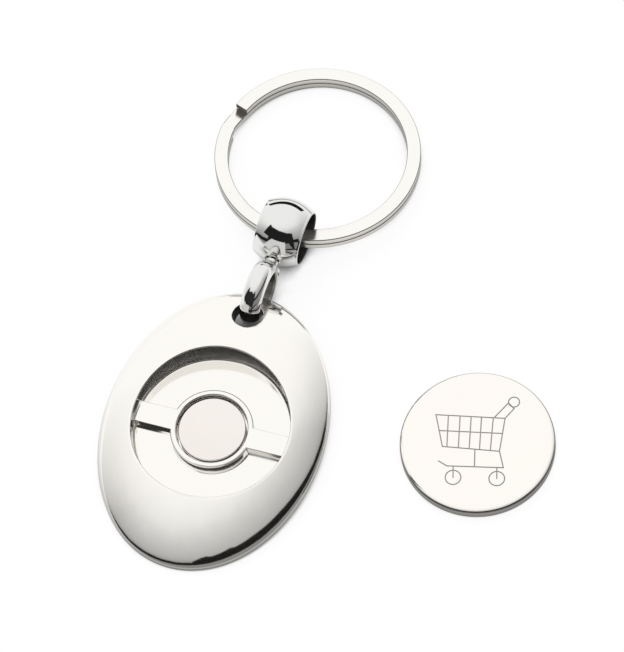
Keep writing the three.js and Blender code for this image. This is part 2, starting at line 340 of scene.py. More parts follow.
@dataclass(frozen=True)
class MetalFinish:
    """A plated metal, with faint mottling in its gloss, its surface and its tint."""

    name: str
    colour: Triple
    tint: Triple
    roughness: float
    roughness_spread: float = 0.05
    mottle_scale: float = 900.0
    mottle_detail: float = 4.0
    bump: float = 0.2
    bump_height: float = 0.01 * MM
    grain: Triple = (1.0, 1.0, 1.0)
    patch_share: float = 0.1
    patch_edges: Pair = (0.35, 0.65)

    def material(self) -> Material:
        """Builds the finish as a material.

        Returns:
            The material, with its gloss, tint and bump from noise on object coordinates.
        """
        material = bpy.data.materials.new(self.name)
        wiring = Wiring(material)
        where = wiring.node("ShaderNodeTexCoord", {}).outputs["Object"]
        stretched = wiring.node("ShaderNodeMapping", {"Vector": where, "Scale": self.grain}).outputs["Vector"]
        mottle = wiring.node("ShaderNodeTexNoise", {"Vector": stretched, "Scale": self.mottle_scale,
                                                    "Detail": self.mottle_detail}).outputs["Fac"]
        gloss = wiring.ramp(mottle, result=(self.roughness - self.roughness_spread,
                                            self.roughness + self.roughness_spread))
        patches = wiring.node("ShaderNodeTexNoise", {
            "Vector": where, "Scale": self.patch_share * self.mottle_scale}).outputs["Fac"]
        shade = wiring.mixed("RGBA", wiring.ramp(patches, self.patch_edges), (*self.colour, 1.0),
                             (*self.tint, 1.0))
        bumps = wiring.node("ShaderNodeBump", {"Height": mottle, "Strength": self.bump,
                                               "Distance": self.bump_height}).outputs["Normal"]
        wiring.feed(wiring.nodes["Principled BSDF"], {"Metallic": 1.0, "Roughness": gloss,
                                                      "Base Color": shade, "Normal": bumps})
        return material


FOB_NICKEL = MetalFinish("polished_nickel", colour=(0.945, 0.925, 0.887), tint=(0.95, 0.925, 0.878),
                         roughness=0.09, roughness_spread=0.02, bump=0.05)
# Near-black finish for the wall of the fob's link hole: painted shade inside the hole.
HOLE_PAINTED_SHADE = MetalFinish("hole_painted_shade", colour=(0.10, 0.095, 0.09), tint=(0.15, 0.145, 0.14),
                          roughness=0.4, roughness_spread=0.08)
MAGNET_NICKEL = MetalFinish("magnet_nickel", colour=(0.908, 0.86, 0.822), tint=(0.89, 0.838, 0.795),
                            roughness=0.22, roughness_spread=0.04, mottle_scale=1200.0, bump=0.08)
MIRROR_CHROME = MetalFinish("polished_chrome", colour=(0.81, 0.805, 0.79), tint=(0.79, 0.79, 0.775),
                            roughness=0.06, roughness_spread=0.02, mottle_scale=700.0, bump=0.03)
# Dark finish for the barrel's bore: painted shade inside the barrel.
BARREL_BORE_PAINTED_SHADE = MetalFinish("barrel_bore_painted_shade", colour=(0.16, 0.155, 0.15), tint=(0.20, 0.195, 0.19),
                          roughness=0.45, roughness_spread=0.08)
# Greyer finish for the link's bore: painted shade on the inner wall of the link.
LINK_BORE_PAINTED_SHADE = MetalFinish("link_bore_painted_shade", colour=(0.42, 0.41, 0.39), tint=(0.34, 0.33, 0.32),
                        roughness=0.28, roughness_spread=0.08)
WIRE_NICKEL = MetalFinish("brushed_nickel", colour=(0.935, 0.92, 0.872), tint=(0.95, 0.93, 0.89),
                          roughness=0.16, roughness_spread=0.04, grain=(1.0, 1.0, 6.0))
# Darker copy of the wire's nickel for its sides: painted shade.
WIRE_SIDE_PAINTED_SHADE = MetalFinish("wire_side_painted_shade", colour=(0.70, 0.68, 0.64), tint=(0.74, 0.715, 0.67),
                        roughness=0.24, grain=(1.0, 1.0, 6.0))
# Dark finish for the wire's rounded corners: a painted dark outline along its edges.
WIRE_CORNER_PAINTED_SHADE = MetalFinish("wire_corner_painted_shade", colour=(0.24, 0.23, 0.215), tint=(0.30, 0.29, 0.27),
                          roughness=0.35)
# Bare steel at the wire's cut ends, darkened to near black as painted shade.
CUT_STEEL_AND_SHADE = MetalFinish("cut_steel_and_painted_shade", colour=(0.10, 0.085, 0.075), tint=(0.15, 0.13, 0.12),
                        roughness=0.5, roughness_spread=0.1, mottle_scale=2500.0, bump=0.3)
COIN_NICKEL = MetalFinish("satin_nickel", colour=(0.962, 0.935, 0.882), tint=(0.965, 0.922, 0.885),
                          roughness=0.12, roughness_spread=0.03, mottle_scale=1500.0, bump=0.08)
# Dark finish for the steep part of the coin's upper edge: a painted dark reflection.
COIN_EDGE_PAINTED_REFLECTION = MetalFinish("coin_edge_painted_reflection", colour=(0.32, 0.315, 0.30), tint=(0.42, 0.41, 0.39),
                        roughness=0.3, mottle_scale=1500.0, bump=0.08)
GROOVE_NICKEL = MetalFinish("engraved_nickel", colour=(0.33, 0.32, 0.30), tint=(0.36, 0.34, 0.33),
                            roughness=0.45, mottle_scale=1500.0)


class Piece(ABC):
    """A piece of the keyring, whose kinds say how it is shaped and finished."""

    node: str
    body: str
    slot: str
    finishes: tuple[MetalFinish, ...]
    smooth_angle: float = math.radians(32.0)

    @abstractmethod
    def shape(self) -> Object:
        """Models the piece in its own frame."""

    def finish_of(self, face: MeshPolygon) -> MetalFinish:
        """Gives a face's finish, in the piece's own frame: the first one, unless a kind says otherwise."""
        return self.finishes[0]

    def add(self, place: Place) -> None:
        """Models the piece, finishes it, lays it in its place and hangs it on its body instead of its node.

        Args:
            place: Where the piece lies.
        """
        obj = self.shape()
        obj.data.materials.clear()
        for finish in self.finishes:
            obj.data.materials.append(finish.material())
        for face in obj.data.polygons:
            face.material_index = self.finishes.index(self.finish_of(face))
        pick(obj)
        obj.data.transform(place.matrix())
        bpy.ops.object.shade_smooth_by_angle(angle=self.smooth_angle)
        modify(obj, "WEIGHTED_NORMAL", keep_sharp=True)
        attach(obj, self.body)
        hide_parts(self.node)
        log.info("%s: %d faces", obj.name, len(obj.data.polygons))


class BoredPiece(Piece):
    """A piece with a bore along its own X axis, whose wall has the second finish: a darker one that paints
    the bore's shade.
    """

    smooth_angle = math.radians(35.0)
    wall_share: float = 0.5

    def finish_of(self, face: MeshPolygon) -> MetalFinish:
        """Gives the second finish, the bore's painted shade, to a face that looks towards the axis, and the
        first one to the others.
        """
        out = Vector((0.0, face.center.y, face.center.z))
        return self.finishes[1 if face.normal.dot(out) < -self.wall_share * out.length else 0]


@dataclass
class Fob(Piece):
    """The domed oval casting, with its pocket, bar, boss and link hole."""

    node = "fob_body"
    body = "fob"
    slot = "polished_nickel"
    finishes = (FOB_NICKEL, HOLE_PAINTED_SHADE)
    half_width: float = 17.0 * MM
    half_length: float = 22.6 * MM
    oval_shift: float = 0.5 * MM
    edge_height: float = 0.9 * MM
    edge_bevel: float = 0.35 * MM
    dome_rise: float = 6.8 * MM
    plan_power: float = 1.5
    section_power: float = 1.4
    pocket_radius: float = 12.025 * MM
    pocket_draft: float = 0.12 * MM
    pocket_fillet: float = 0.35 * MM
    rim_round: float = 0.3 * MM
    floor_height: float = 1.1 * MM
    seat_height: float = 2.6 * MM
    bar_width: float = 3.3 * MM
    bar_draft: float = 0.15 * MM
    bar_round: float = 0.1 * MM
    bar_round_angle: float = math.radians(60.0)
    boss_radius: float = 6.3 * MM
    boss_round: float = 0.3 * MM
    bore_radius: float = 5.4 * MM
    bore_depth: float = 1.9 * MM
    hole_radius: float = 2.3518 * MM
    hole_place: float = 18.698 * MM
    hole_round: float = 0.15 * MM
    hole_lift: float = 0.02 * MM
    hole_overrun: float = 1.0 * MM
    hole_wall_rise: float = 0.5
    overlap: float = 0.5 * MM
    segments: int = 288
    hole_segments: int = 96
    dome_steps: int = 56
    dome_crowding: float = 2.2
    round_steps: int = 6
    rim_mark: float = 20.0 * MM
    dome_mark: float = 40.0 * MM
    mark_step: float = 1.0 * MM

    def dome_height(self, x: float, y: float) -> float:
        """Gives the dome's height over a point of the plan.

        Args:
            x: Distance across the fob from the pocket's middle.
            y: Distance along the fob from the pocket's middle.

        Returns:
            The height above the flat back.
        """
        share = math.hypot(x / self.half_width, (y - self.oval_shift) / self.half_length)
        fall = max(0.0, 1.0 - share ** self.plan_power)
        return self.edge_height + self.dome_rise * fall ** (1.0 / self.section_power)

    def oval_reach(self, angle: float) -> float:
        """Gives the distance from the pocket's middle to the oval.

        Args:
            angle: Direction in the plan, in radians.

        Returns:
            The distance along that direction.
        """
        across, along = math.cos(angle) / self.half_width, math.sin(angle) / self.half_length
        shift = self.oval_shift / self.half_length
        square = across ** 2 + along ** 2
        return (along * shift + math.sqrt((along * shift) ** 2 + square * (1.0 - shift ** 2))) / square

    def shape(self) -> Object:
        """Models the casting.

        Returns:
            The casting, on its flat back.
        """
        obj = self.spun_body()
        combine(obj, self.bar(), Joining.ADD)
        combine(obj, self.hole_cutter(), Joining.CUT)
        return obj

    def spun_body(self) -> Object:
        """Spins the pocket, the dome and the edge in one, then draws the dome and the edge out to the oval.

        The points of the rim and the dome are spun at marked heights, which tell them from the others when
        they are moved to their places.

        Returns:
            The casting without its bar and hole.
        """
        rim_reach = self.pocket_radius + self.rim_round
        profile = self.pocket_profile()
        profile += [(rim_reach, self.rim_mark + step * self.mark_step)
                    for step in range(self.round_steps + 1)]
        profile += [(rim_reach, self.dome_mark + step * self.mark_step)
                    for step in range(1, self.dome_steps + 1)]
        profile += [(self.half_width, self.edge_bevel), (self.half_width - self.edge_bevel, 0.0), (0.0, 0.0)]
        obj = spin("fob_body_finished", profile, Axis.Z, self.segments)
        for vertex in obj.data.vertices:
            vertex.co = self.drawn_out(vertex.co)
        return obj

    def pocket_profile(self) -> list[Pair]:
        """Lists the profile of the magnet's bore, the boss and the pocket's floor.

        Returns:
            The profile's points, from the axis outwards.
        """
        bore_bottom = self.seat_height - self.bore_depth
        shoulder = self.seat_height - self.boss_round
        fillet, steps = self.pocket_fillet, self.round_steps
        floor_reach = self.pocket_radius - self.pocket_draft - fillet
        profile = [(0.0, bore_bottom), (self.bore_radius, bore_bottom)]
        profile += arc((self.bore_radius + self.boss_round, shoulder), self.boss_round, 180.0, 90.0, steps)
        profile += arc((self.boss_radius - self.boss_round, shoulder), self.boss_round, 90.0, 0.0, steps)
        profile.append((self.boss_radius, self.floor_height))
        profile += arc((floor_reach, self.floor_height + fillet), fillet, -90.0, 0.0, steps)
        return profile

    def quarter_turn(self, level: float) -> float:
        """Gives how far round a quarter arc a point at a marked height is, in radians."""
        return 0.5 * math.pi * (level - self.rim_mark) / self.mark_step / self.round_steps

    def drawn_out(self, point: Vector) -> Vector:
        """Moves a point of the spun body to its place.

        Args:
            point: The point, where its height may be a mark.

        Returns:
            The point on the rim, the dome or the edge of the oval, or the same point inside the pocket.
        """
        radius, level = math.hypot(point.x, point.y), point.z
        angle = math.atan2(point.y, point.x)
        reach = self.oval_reach(angle)
        rim_reach = self.pocket_radius + self.rim_round
        drop = 0.0
        if level > self.dome_mark:
            share = (level - self.dome_mark) / self.mark_step / self.dome_steps
            left = max(0.0, 1.0 - share) ** self.dome_crowding
            spread = reach - (reach - rim_reach) * left
        elif level > self.rim_mark - self.overlap:
            turn = self.quarter_turn(level)
            spread = self.pocket_radius + self.rim_round * (1.0 - math.cos(turn))
            drop = self.rim_round * (1.0 - math.sin(turn))
        elif radius > rim_reach:
            scale = (reach - (self.half_width - radius)) / radius
            return Vector((point.x * scale, point.y * scale, level))
        else:
            return point.copy()
        x, y = spread * math.cos(angle), spread * math.sin(angle)
        return Vector((x, y, self.dome_height(x, y) - drop))

    def finish_of(self, face: MeshPolygon) -> MetalFinish:
        """Tells the wall of the link hole, which gets near-black painted shade, from the rest."""
        inside = math.dist(face.center.xy, (0.0, self.hole_place)) < self.hole_radius + self.hole_lift
        # The hole's wall takes the near-black painted shade.
        return HOLE_PAINTED_SHADE if inside and abs(face.normal.z) < self.hole_wall_rise else FOB_NICKEL

    def bar(self) -> Object:
        """Models the bar across the pocket, with drafted sides and softened edges.

        Returns:
            The bar, open in the middle for the magnet.
        """
        reach = self.pocket_radius + self.overlap
        bottom = self.floor_height / 2.0
        height = self.seat_height - bottom
        obj = block("bar", (2.0 * reach, self.bar_width, height), (0.0, 0.0, bottom + height / 2.0))
        for vertex in obj.data.vertices:
            if vertex.co.z < self.floor_height:
                vertex.co.y += math.copysign(self.bar_draft, vertex.co.y)
        modify(obj, "BEVEL", width=self.bar_round, segments=self.round_steps // 2, limit_method="ANGLE",
               angle_limit=self.bar_round_angle)
        gap, top = self.bore_radius + self.overlap, self.seat_height + self.overlap
        profile = [(0.0, 0.0), (gap, 0.0), (gap, top), (0.0, top)]
        combine(obj, spin("bore", profile, Axis.Z, self.hole_segments), Joining.CUT)
        return obj

    def hole_cutter(self) -> Object:
        """Models the cutter of the link hole, whose mouth flares along the dome.

        Returns:
            The cutter, where the hole is.
        """
        flared = self.hole_radius + self.hole_round
        profile = [(0.0, -self.hole_overrun), (flared + self.hole_overrun, -self.hole_overrun),
                   (self.hole_radius, self.hole_round)]
        for step in range(self.round_steps + 1):
            level = self.rim_mark + step * self.mark_step
            profile.append((flared - self.hole_round * math.cos(self.quarter_turn(level)), level))
        profile += [(flared, self.dome_mark), (0.0, self.dome_mark)]
        obj = spin("hole_cutter", profile, Axis.Z, self.hole_segments)
        for vertex in obj.data.vertices:
            level = vertex.co.z
            vertex.co.y += self.hole_place
            if level > self.dome_mark - self.overlap:
                vertex.co.z = 2.0 * self.dome_rise
            elif level > self.rim_mark - self.overlap:
                drop = self.hole_round * (1.0 - math.sin(self.quarter_turn(level)))
                vertex.co.z = self.dome_height(vertex.co.x, vertex.co.y) - drop + self.hole_lift
        return obj


@dataclass
class Magnet(Piece):
    """The round magnet in the boss."""

    node = "magnet"
    body = "fob"
    slot = "magnet_nickel"
    finishes = (MAGNET_NICKEL,)
    radius: float = 5.1 * MM
    thickness: float = 1.2 * MM
    edge_round: float = 0.2 * MM
    top: float = 2.2 * MM
    segments: int = 160
    round_steps: int = 5

    def shape(self) -> Object:
        """Models the magnet.

        Returns:
            The magnet, in the fob's own frame.
        """
        bottom = self.top - self.thickness
        inner = self.radius - self.edge_round
        profile = [(0.0, bottom)]
        profile += arc((inner, bottom + self.edge_round), self.edge_round, -90.0, 0.0, self.round_steps)
        profile += arc((inner, self.top - self.edge_round), self.edge_round, 0.0, 90.0, self.round_steps)
        profile.append((0.0, self.top))
        return spin("magnet_finished", profile, Axis.Z, self.segments)


@dataclass
class Link(BoredPiece):
    """The D-section ring with the neck and the head that holds the barrel."""

    node = "swivel_link"
    body = "link"
    slot = "polished_chrome"
    finishes = (MIRROR_CHROME, LINK_BORE_PAINTED_SHADE)
    bore_radius: float = 3.5 * MM
    radius: float = 5.2 * MM
    width: float = 3.2 * MM
    corner_round: float = 0.45 * MM
    shoulder_power: float = 2.2
    crown_power: float = 1.6
    neck_radius: float = 1.0 * MM
    foot_radius: float = 1.75 * MM
    foot_start: float = 4.4 * MM
    foot_end: float = 5.45 * MM
    head_radius: float = 1.6 * MM
    head_height: float = 0.6 * MM
    head_start: float = 7.26 * MM
    head_round: float = 0.1 * MM
    head_top_share: float = 0.7
    segments: int = 160
    neck_segments: int = 64
    crown_steps: int = 28
    corner_steps: int = 6
    foot_steps: int = 8
    head_steps: int = 3

    def shape(self) -> Object:
        """Models the link.

        Returns:
            The link, about the middle of its ring.
        """
        obj = spin("swivel_link_finished", self.section(), Axis.X, self.segments, closed=True)
        combine(obj, self.neck(), Joining.ADD)
        return obj

    def section(self) -> list[Pair]:
        """Lists the D section: a full crown outside and rounded corners at the bore.

        Returns:
            The section's points.
        """
        half = self.width / 2.0
        corner = self.corner_round
        inner = self.bore_radius + corner
        points = []
        for step in range(self.crown_steps + 1):
            across = -math.cos(math.pi * step / self.crown_steps)
            rise = (1.0 - abs(across) ** self.shoulder_power) ** (1.0 / self.crown_power)
            points.append((inner + (self.radius - inner) * rise, half * across))
        points += arc((inner, half - corner), corner, 90.0, 180.0, self.corner_steps)[1:]
        points += arc((inner, corner - half), corner, 180.0, 270.0, self.corner_steps)[:-1]
        return points

    def neck(self) -> Object:
        """Models the neck, which swells into the ring, and its mushroom head.

        Returns:
            The neck, in the link's own frame.
        """
        inside = self.bore_radius + self.corner_round
        length = self.foot_end - self.foot_start
        profile = [(0.0, inside), (self.foot_radius, inside)]
        for step in range(self.foot_steps + 1):
            angle = 0.5 * math.pi * step / self.foot_steps
            spread = self.neck_radius + (self.foot_radius - self.neck_radius) * (1.0 - math.sin(angle))
            profile.append((spread, self.foot_start + length * (1.0 - math.cos(angle))))
        side, end = self.head_radius - self.head_round, self.head_start + self.head_height
        profile += [(self.neck_radius, self.head_start), (side, self.head_start)]
        profile += arc((side, self.head_start + self.head_round), self.head_round, -90.0, 0.0,
                       self.head_steps)[1:]
        profile += [(self.head_top_share * self.head_radius, end), (0.0, end)]
        return spin("neck", profile, Axis.Y, self.neck_segments)


@dataclass
class Barrel(BoredPiece):
    """The crowned barrel that turns on the neck."""

    node = "barrel"
    body = "barrel"
    slot = "polished_chrome"
    finishes = (MIRROR_CHROME, BARREL_BORE_PAINTED_SHADE)
    radius: float = 5.29 * MM
    crown: float = 1.0 * MM
    width: float = 7.2 * MM
    wall: float = 0.9 * MM
    lip: float = 0.35 * MM
    hole_radius: float = 1.3 * MM
    hole_depth: float = 7.0 * MM
    segments: int = 192
    hole_segments: int = 64
    crown_steps: int = 32
    lip_steps: int = 8

    def shape(self) -> Object:
        """Models the barrel.

        Returns:
            The barrel, about its middle.
        """
        obj = spin("barrel_finished", self.section(), Axis.X, self.segments, closed=True)
        wide, deep = self.hole_radius, -self.hole_depth
        profile = [(0.0, 0.0), (wide, 0.0), (wide, deep), (0.0, deep)]
        combine(obj, spin("neck_hole", profile, Axis.Y, self.hole_segments), Joining.CUT)
        return obj

    def section(self) -> list[Pair]:
        """Lists the wall's section: crowned outside and inside, with a round lip at each mouth.

        Returns:
            The section's points.
        """
        lip_round = self.lip / 2.0
        half = self.width / 2.0 - lip_round
        mouth = self.radius - self.crown
        bore = self.radius - self.wall
        outside, inside = [], []
        for step in range(self.crown_steps + 1):
            across = 2.0 * step / self.crown_steps - 1.0
            outside.append((self.radius - self.crown * across * across, half * across))
            inside.append((bore - (bore - mouth + self.lip) * across * across, half * across))
        round_lip = arc((mouth - lip_round, half), lip_round, 0.0, 180.0, self.lip_steps)[1:-1]
        other_lip = [(radius, -along) for radius, along in reversed(round_lip)]
        return outside + round_lip + inside[::-1] + other_lip


@dataclass
class SplitRing(Piece):
    """The flat wire wound for almost two turns."""

    node = "split_ring"
    body = "ring"
    slot = "brushed_nickel"
    finishes = (WIRE_NICKEL, WIRE_SIDE_PAINTED_SHADE, WIRE_CORNER_PAINTED_SHADE, CUT_STEEL_AND_SHADE)
    smooth_angle = math.radians(40.0)
    radius: float = 15.94 * MM
    wire_width: float = 2.13 * MM
    turn_gap: float = 0.06 * MM
    stack: float = 2.22 * MM
    edge_round: float = 0.16 * MM
    cut_angle: float = math.radians(160.0)
    jog: float = math.radians(20.0)
    steps_per_turn: int = 180
    round_steps: int = 4
    flat_rise: float = 0.95
    side_rise: float = 0.1
    strip_corners: int = 4

    def wire_thickness(self) -> float:
        """Gives the thickness of one turn."""
        return (self.stack - self.turn_gap) / 2.0

    def wire_middle(self) -> float:
        """Gives the radius of the wire's middle line."""
        return self.radius - self.wire_width / 2.0

    def level(self, run: float) -> float:
        """Gives the height of the wire's middle along its run.

        Args:
            run: Angle wound from the cut end, in radians.

        Returns:
            The height above the ring's underside.
        """
        share = min(1.0, max(0.0, (run - (math.tau - self.jog)) / self.jog))
        ease = share * share * (3.0 - 2.0 * share)
        pitch = self.wire_thickness() + self.turn_gap
        return pitch * (1.0 - ease) + self.wire_thickness() / 2.0

    def shape(self) -> Object:
        """Models the wire.

        Returns:
            The ring, with its axis along Z.
        """
        section = self.section()
        sweep = 2.0 * math.tau - self.jog
        steps = round(sweep / math.tau * self.steps_per_turn)
        obj = spin("split_ring_finished", section, Axis.Z, steps, closed=True, sweep=-sweep)
        count = len(section)
        turn = Matrix.Rotation(self.cut_angle, 4, "Z")
        for index, vertex in enumerate(obj.data.vertices):
            vertex.co.z += self.level(sweep * (index // count) / steps)
            vertex.co = turn @ vertex.co
        pick(obj)
        bpy.ops.object.mode_set(mode="EDIT")
        bpy.ops.mesh.select_mode(type="EDGE")
        bpy.ops.mesh.select_all(action="DESELECT")
        bpy.ops.mesh.select_non_manifold()
        bpy.ops.mesh.fill_holes(sides=0)
        bpy.ops.mesh.select_all(action="SELECT")
        bpy.ops.mesh.normals_make_consistent(inside=False)
        bpy.ops.object.mode_set(mode="OBJECT")
        return obj

    def section(self) -> list[Pair]:
        """Lists the wire's section: a rectangle with rounded corners.

        Returns:
            The section's points, at the height of its own middle.
        """
        across = self.wire_width / 2.0 - self.edge_round
        up = self.wire_thickness() / 2.0 - self.edge_round
        middle = self.wire_middle()
        points = []
        for corner, (side, rise) in enumerate([(1, 1), (-1, 1), (-1, -1), (1, -1)]):
            points += arc((middle + side * across, rise * up), self.edge_round,
                          90.0 * corner, 90.0 * corner + 90.0, self.round_steps)
        return points

    def finish_of(self, face: MeshPolygon) -> MetalFinish:
        """Tells the wire's flats, sides, rounded corners and cut ends apart: the sides and the cut ends get
        painted shade, the rounded corners a painted dark outline.

        Args:
            face: The face.

        Returns:
            The face's finish.
        """
        rise = abs(face.normal.z)
        # The filled cut ends get the near-black finish: bare steel with painted shade.
        if len(face.vertices) > self.strip_corners:
            return CUT_STEEL_AND_SHADE
        if rise > self.flat_rise:
            return WIRE_NICKEL
        # Sides get painted shade and rounded corners a painted dark outline.
        return WIRE_SIDE_PAINTED_SHADE if rise < self.side_rise else WIRE_CORNER_PAINTED_SHADE


@dataclass
class TrolleyDrawing:
    """The engraved outline of a shopping trolley, in sizes from the coin's middle."""

    top_left: Pair = (-7.2 * MM, 2.6 * MM)
    top_right: Pair = (2.95 * MM, 4.7 * MM)
    bottom_left: Pair = (-4.8 * MM, -2.2 * MM)
    bottom_right: Pair = (3.65 * MM, -0.75 * MM)
    top_shares: tuple[float, ...] = (0.18, 0.35, 0.51, 0.66, 0.83)
    bottom_shares: tuple[float, ...] = (0.08, 0.28, 0.47, 0.65, 0.84)
    middle_shares: Pair = (0.5, 0.46)
    handle_foot: Pair = (1.35 * MM, 4.4 * MM)
    handle_top: Pair = (2.75 * MM, 7.3 * MM)
    handle_end: Pair = (3.8 * MM, 6.6 * MM)
    grip: Pair = (3.5 * MM, 7.65 * MM)
    grip_radius: float = 0.82 * MM
    post_share: float = 0.57
    rail_tip: Pair = (-4.65 * MM, -4.65 * MM)
    rail_bend: Pair = (-3.25 * MM, -5.1 * MM)
    rail_end: Pair = (4.95 * MM, -3.2 * MM)
    post_foot_share: float = 0.49
    wheels: tuple[Pair, ...] = ((-1.83 * MM, -6.67 * MM), (4.5 * MM, -5.16 * MM))
    wheel_radius: float = 1.16 * MM
    stem_height: float = 1.7 * MM
    stem_slant_share: float = -0.28

    @staticmethod
    def between(start: Pair, end: Pair, share: float) -> Pair:
        """Gives the point at a share of the way between two points."""
        return (start[0] + (end[0] - start[0]) * share, start[1] + (end[1] - start[1]) * share)

    def strokes(self) -> list[list[Pair]]:
        """Lists the straight strokes of the drawing.

        Returns:
            Each stroke as a list of points.
        """
        lines = [[self.top_left, self.top_right, self.bottom_right, self.bottom_left, self.top_left],
                 [self.between(self.top_left, self.bottom_left, self.middle_shares[0]),
                  self.between(self.top_right, self.bottom_right, self.middle_shares[1])]]
        for top, bottom in zip(self.top_shares, self.bottom_shares):
            lines.append([self.between(self.top_left, self.top_right, top),
                          self.between(self.bottom_left, self.bottom_right, bottom)])
        lines.append([self.handle_foot, self.handle_top, self.handle_end, self.top_right])
        lines.append([self.between(self.bottom_left, self.bottom_right, self.post_share),
                      self.between(self.rail_bend, self.rail_end, self.post_foot_share)])
        lines.append([self.rail_tip, self.rail_bend, self.rail_end, self.bottom_right])
        slant = self.stem_slant_share * self.stem_height
        for wheel in self.wheels:
            lines.append([(wheel[0] + slant, wheel[1] + self.stem_height), wheel])
        return lines

    def rounds(self) -> list[tuple[Pair, float]]:
        """Lists the circles of the drawing, each as its centre and radius."""
        return [(self.grip, self.grip_radius)] + [(wheel, self.wheel_radius) for wheel in self.wheels]


@dataclass
class Coin(Piece):
    """The trolley coin, with an engraved drawing on its face."""

    node = "coin"
    body = "coin"
    slot = "satin_nickel"
    finishes = (COIN_NICKEL, GROOVE_NICKEL, COIN_EDGE_PAINTED_REFLECTION)
    radius: float = 11.625 * MM
    thickness: float = 1.9 * MM
    foot_round: float = 0.3 * MM
    edge_reach: float = 1.3 * MM
    edge_drop: float = 0.55 * MM
    groove_width: float = 0.18 * MM
    groove_depth: float = 0.06 * MM
    groove_skin: float = 0.004 * MM
    groove_stagger: float = 0.0005 * MM
    groove_reach: float = 0.24 * MM
    steep_rise: float = 0.8
    segments: int = 240
    circle_segments: int = 48
    foot_steps: int = 6
    edge_steps: int = 24
    drawing: TrolleyDrawing = field(default_factory=TrolleyDrawing)

    def shape(self) -> Object:
        """Models the coin, whose grooves are cut at staggered depths so that no two floors coincide.

        Returns:
            The coin, on its lower face.
        """
        foot, edge = self.foot_round, self.edge_reach
        profile = [(0.0, 0.0)]
        profile += arc((self.radius - foot, foot), foot, -90.0, 0.0, self.foot_steps)
        profile += arc((self.radius - edge, self.thickness - self.edge_drop), edge, 0.0, 90.0,
                       self.edge_steps, flatness=self.edge_drop / edge)
        profile.append((0.0, self.thickness))
        obj = spin("coin_finished", profile, Axis.Z, self.segments)
        for index, cutter in enumerate(self.cutters()):
            cutter.data.transform(Matrix.Translation((0.0, 0.0, -self.groove_stagger * index)))
            combine(obj, cutter, Joining.CUT)
        return obj

    def cutters(self) -> Iterable[Object]:
        """Makes the groove's cutters one after the other.

        Yields:
            A box for each straight piece and a ring for each circle.
        """
        for stroke in self.drawing.strokes():
            for start, end in zip(stroke, stroke[1:]):
                run = Vector(end) - Vector(start)
                box = block("groove", (run.length + self.groove_width, self.groove_width,
                                       2.0 * self.groove_depth), (0.0, 0.0, 0.0))
                at = Vector(((start[0] + end[0]) / 2.0, (start[1] + end[1]) / 2.0, self.thickness))
                turn = Matrix.Rotation(math.atan2(run.y, run.x), 4, "Z")
                box.data.transform(Matrix.Translation(at) @ turn)
                yield box
        half, deep = self.groove_width / 2.0, self.groove_depth
        for (x, y), radius in self.drawing.rounds():
            profile = [(radius - half, -deep), (radius + half, -deep), (radius + half, deep),
                       (radius - half, deep)]
            ring = spin("groove", profile, Axis.Z, self.circle_segments, closed=True)
            ring.data.transform(Matrix.Translation((x, y, self.thickness)))
            yield ring

    def finish_of(self, face: MeshPolygon) -> MetalFinish:
        """Tells the grooves and the steep part of the upper edge, which gets a painted dark reflection, from
        the rest.

        Args:
            face: The face.

        Returns:
            The face's finish.
        """
        depth = self.thickness - face.center.z
        inside = face.center.xy.length < self.radius - self.edge_reach
        if inside and self.groove_skin < depth < self.groove_reach:
            return GROOVE_NICKEL
        # The steep part of the upper edge takes the painted dark reflection.
        if not inside and depth < self.edge_drop and face.normal.z < self.steep_rise:
            return COIN_EDGE_PAINTED_REFLECTION
        return COIN_NICKEL


@dataclass(frozen=True)
class Bow:
    """A curved card that stands round a piece and is seen from inside only.

    Its knots are an angle from the camera's side, the lower edge and the upper edge, in degrees and mm. It
    is seen by light that was mirrored at least as often as its number of bounces.
    """

    name: str
    radius: float
    tones: Pair
    knots: tuple[Triple, ...]
    bounces: int = FIRST_BOUNCE
    slack: float = 0.001

    def edges(self, turned: float) -> Pair:
        """Gives the card's lower and upper edge at an angle.

        Args:
            turned: The angle from the camera's side, in degrees.

        Returns:
            Both heights over the piece's place, in metres.
        """
        for (first, low, high), (last, next_low, next_high) in zip(self.knots, self.knots[1:]):
            if turned <= last + self.slack:
                share = (turned - first) / (last - first)
                return (low + (next_low - low) * share) * MM, (high + (next_high - high) * share) * MM
        return self.knots[-1][1] * MM, self.knots[-1][2] * MM


@dataclass(frozen=True)
class FlatCard:
    """An upright card beside a piece, seen from the piece's side only.

    Its turn is the side that it stands on, from 0 in front, towards the camera, to 90 on the right. Its
    corners are distances to the right and heights above the floor, in mm.
    """

    name: str
    turn: float
    distance: float
    tones: Pair
    corners: tuple[Pair, ...]


